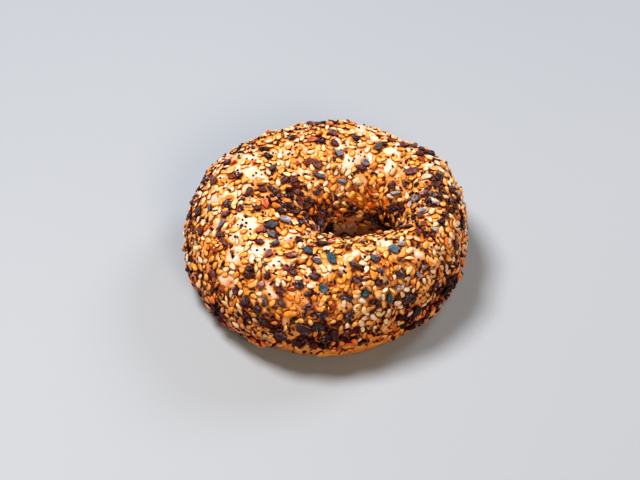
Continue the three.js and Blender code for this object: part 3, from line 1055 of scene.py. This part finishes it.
def topping_chances(patches):
    """Functions that give the chance of each kind of topping at places on the crust."""
    bare, dark, bald = patches["bare"], patches["dark"], patches["bald"]
    open_crust = bare + bald

    def sesame(point, normal, across):
        return coat_share(point, across) * (1 - 0.95 * patch_share(point, open_crust)) * (
            1 - 0.6 * patch_share(point, dark))

    def flake(point, normal, across):
        """Flakes at random: few where the photograph shows the large ones in their places."""
        shown = smooth(-0.1, 0.4, normal @ camera_axes()[2])
        share = 0.45 - 0.33 * shown + 1.6 * patch_share(point, dark)
        return coat_share(point, across) * (1 - 0.9 * patch_share(point, open_crust)) * share

    def poppy(point, normal, across):
        return coat_share(point, across, -22, 180) * (0.35 + 0.65 * patch_share(point, dark)) * (
            1 - 0.5 * patch_share(point, bare)) * (1 - 0.9 * patch_share(point, bald))

    def crumb(point, normal, across):
        return coat_share(point, across, -22, 185) * (1 - 0.8 * patch_share(point, open_crust))

    return {"sesame": sesame, "flake": flake, "poppy": poppy, "crumb": crumb}


def spread_toppings(rng, tree, patches):
    """Every group of toppings, by tone or kind, and the cover that they make on the crust."""
    cover = Cover()
    groups = {tone: landmark_group(tree, cover, flakes) for tone, flakes in LANDMARKS.items()}
    chances = topping_chances(patches)
    for kind, (chance, *rule) in SCATTERED.items():
        groups[kind] = scatter(rng, cover, chances[chance], *rule)
    return groups, cover


def sesame_pieces(rng, groups, patches):
    """Sesame, pale and toasted: darker and browner towards the foot and in the dark patches, where
    flakes crowd, partly toasting and partly painted shade.
    """
    seeds = merged(groups["sesame"], groups["sesame_on_top"])
    toasted = 0.2 + 0.42 * patch_share(seeds["point"], patches["toasted"])
    chance = np.clip(toasted + 0.45 * smooth(28, 10, seeds["point"][:, 2]), 0, 0.9)
    is_toasted = rng.uniform(size=len(chance)) < chance
    for name, (toast, tone, weights, translucent) in SESAME_PIECES.items():
        group = {key: value[is_toasted == toast] for key, value in seeds.items()}
        # Darker and browner towards the foot and in the dark patches: partly toasting, partly
        # painted shade.
        low = smooth(22, 2, group["point"][:, 2])[:, None]
        dark = patch_share(group["point"], patches["dark"])
        shade = (1 - low * (1 - LOW_SEED_SHADE)) * (1 - dark[:, None] * (1 - SHADED_SEED))
        # Painted shade in crevices darkens seeds less where the crust round them is pale.
        depth = 1 - 0.7 * bareness(group["point"], patches["bare"]) * (1 - dark)
        piece = make_sesame(rng, name, group, TONES[tone], weights, shade, depth)
        yield piece, seed_material(f"sesame_{tone}", 0.3, 0.3, translucent), "sesame_seed"


def flake_pieces(rng, groups):
    """Onion flakes and skins and garlic flakes: those that stand out, then the scattered ones."""
    for name, settings in FLAKE_PIECES.items():
        tones, thickness, kinds, tone, curl, crumple, material = settings
        sizes = [landmark_sizes(LANDMARKS[key], thickness) for key in tones]
        sizes += [flake_sizes(rng, groups[kind], SCATTERED[kind][2]) for kind in kinds]
        parts = [(groups[key], TONES[key]) for key in tones]
        parts += [(groups[kind], TONES[tone]) for kind in kinds]
        colours = np.concatenate([
            piece_colours(rng, palette, (1,) * len(palette), len(group["point"]), jitter=0.16)
            for group, palette in parts
        ])
        flakes = merged(*(group for group, _ in parts))
        piece = make_flakes(rng, name, flakes, np.concatenate(sizes), colours, curl, crumple)
        yield piece, flake_material(*material), "garlic_flake" if tone == "garlic" else "onion_flake"


def flake_sizes(rng, group, size):
    """Length, width and thickness of each flake of a group, varied."""
    count = len(group["point"])
    varied = rng.uniform((0.8, 0.75, 0.7), (1.25, 1.2, 1.3), (count, 3))
    return np.array(size) * group["scale"][:, None] * varied


def landmark_sizes(flakes, thickness):
    return np.array([
        (length * LANDMARK_SCALE, width * LANDMARK_SCALE, thickness)
        for _, _, length, width, _ in flakes
    ])


def landmark_group(tree, cover, flakes):
    """Flakes that stand out, each on the crust at its pixel and turned as it shows there."""
    right, up = camera_axes()[:2]
    found = {"point": [], "normal": [], "along": []}
    for x, y, length, width, turn in flakes:
        spot, normal = seen_on_crust(tree, (x, y))
        heading = math.radians(-turn)
        shown = right * math.cos(heading) + up * math.sin(heading)
        along = unit(shown - normal * (shown @ normal))
        feet, radius = feet_of(spot, along, length, width)
        cover.add(feet, radius, KEPT_CLEAR, FLAKE_STAIN_AND_SHADE)
        for key, value in (("point", spot), ("normal", normal), ("along", along)):
            found[key].append(value)
    group = {key: np.array(value) for key, value in found.items()}
    group["height"] = np.full(len(flakes), LANDMARK_LIFT)
    group["scale"] = np.ones(len(flakes))
    return group


def bareness(points, bare):
    """How pale the crust is: in the bare patches, and less so all over the crown."""
    crown = smooth(12, 32, points[:, 2]) * (0.7 + 0.25 * ripple(points, 12, PALE_SEED))
    high = 0.45 + 0.55 * smooth(10, 28, points[:, 2])
    return np.clip(np.maximum(patch_share(points, bare) * high, 0.7 * crown), 0, 1)


def stain_and_shade_from(points, cover, reach):
    """How far points are stained and darkened with painted contact shade by the nearest footprint
    among those with this reach.
    """
    staining = np.flatnonzero(cover.stain_and_shade[: cover.count] == reach)
    tree = KDTree(len(staining))
    for number in staining:
        tree.insert(cover.points[number], number)
    tree.balance()
    found = [tree.find(point)[1:] for point in points]
    gap = np.array([distance - cover.radius[number] for number, distance in found])
    return smooth(reach, -0.15, gap)


def crust_tones(points, across, cover, patches):
    """How bare, how brown, and how stained and darkened with painted shade by its neighbours each
    point of the crust is.
    """
    stain_and_shade = np.maximum(*(stain_and_shade_from(points, cover, reach) for reach in (SEED_STAIN_AND_SHADE, FLAKE_STAIN_AND_SHADE)))
    # Browner low on the outside, over the foot and deep in the hole.
    outside = np.where(across > math.pi, across - TURN, across)
    low = smooth(math.radians(34), math.radians(-22), outside)
    in_hole = smooth(math.radians(118), math.radians(170), across)
    foot = across > math.radians(200)
    toast = np.maximum(np.where(foot, 1, in_hole), 0.7 * low)
    toast += 0.5 * patch_share(points, patches["toasted"])
    toast -= 0.8 * patch_share(points, patches["bald"])
    toast = np.clip(toast + 0.16 * ripple(points, 9, TOAST_SEED), 0, 1)
    return np.stack((bareness(points, patches["bare"]), toast, stain_and_shade, np.ones(len(points))), -1)


def make_floor():
    """The pale surface that the bagel lies on."""
    half = 3.0
    corners = [(-half, -half, 0), (half, -half, 0), (half, half, 0), (-half, half, 0)]
    mesh = bpy.data.meshes.new("floor")
    mesh.from_pydata(corners, [], [(0, 1, 2, 3)])
    floor = link("floor", mesh)
    made, tree, inputs = new_material("pale_floor", Roughness=0.6)
    tree.links.new(mixed(tree, noise(tree, 3, 2), *FLOOR_TINTS), inputs["Base Color"])
    mesh.materials.append(made)
    floor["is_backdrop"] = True


def make_light(name, place, size, power, tint):
    data = bpy.data.lights.new(name, "AREA")
    data.shape = "DISK"
    data.size = size
    data.energy = power
    data.color = tint
    light = bpy.data.objects.new(name, data)
    light.location = place
    aim = Vector(CAMERA_TARGET) * MM - Vector(place)
    light.rotation_euler = aim.to_track_quat("-Z", "Y").to_euler()
    bpy.context.scene.collection.objects.link(light)


def make_studio():
    """Lights, a dim warm world and the picture's contrast."""
    for name, settings in LIGHTS.items():
        make_light(name, *settings)
    world = bpy.data.worlds.new("studio")
    world.use_nodes = True
    backdrop = world.node_tree.nodes["Background"]
    backdrop.inputs["Color"].default_value = WORLD_TINT
    backdrop.inputs["Strength"].default_value = WORLD_STRENGTH
    bpy.context.scene.world = world
    bpy.context.scene.view_settings.view_transform = "Standard"
    bpy.context.scene.view_settings.look = "Medium High Contrast"


def make_bagel():
    points, across, corners, places = ring_of_crust()
    tree = BVHTree.FromPolygons(points.tolist(), corners.tolist())
    rng = np.random.default_rng(TOPPING_SEED)
    patches = crust_patches(rng, tree)
    groups, cover = spread_toppings(rng, tree, patches)
    poppy = merged(groups["poppy"], groups["poppy_on_top"])
    pieces = [
        *sesame_pieces(rng, groups, patches),
        *flake_pieces(rng, groups),
        (make_poppy(rng, poppy), poppy_material(), "poppy_seed"),
        (make_crumbs(rng, groups["crumbs"]), seed_material("crumb_skin", 0.5, 0.0, 0.0005),
         "sesame_seed"),
    ]
    tones = crust_tones(points, across, cover, patches)
    mesh = write_mesh("crust", points, corners.ravel(), np.full(len(corners), 4), places, tones)
    pieces.append((link("crust", mesh), crust_material(), "bagel"))
    for piece, material, slot in pieces:
        piece.data.materials.append(material)
        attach(piece, "root")
        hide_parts("bagel")


make_camera()
make_bagel()
make_floor()
make_studio()

sizes = {"cad": cad_bounds, "visual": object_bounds()}
{name: [list(corner) for corner in box] for name, box in sizes.items()}
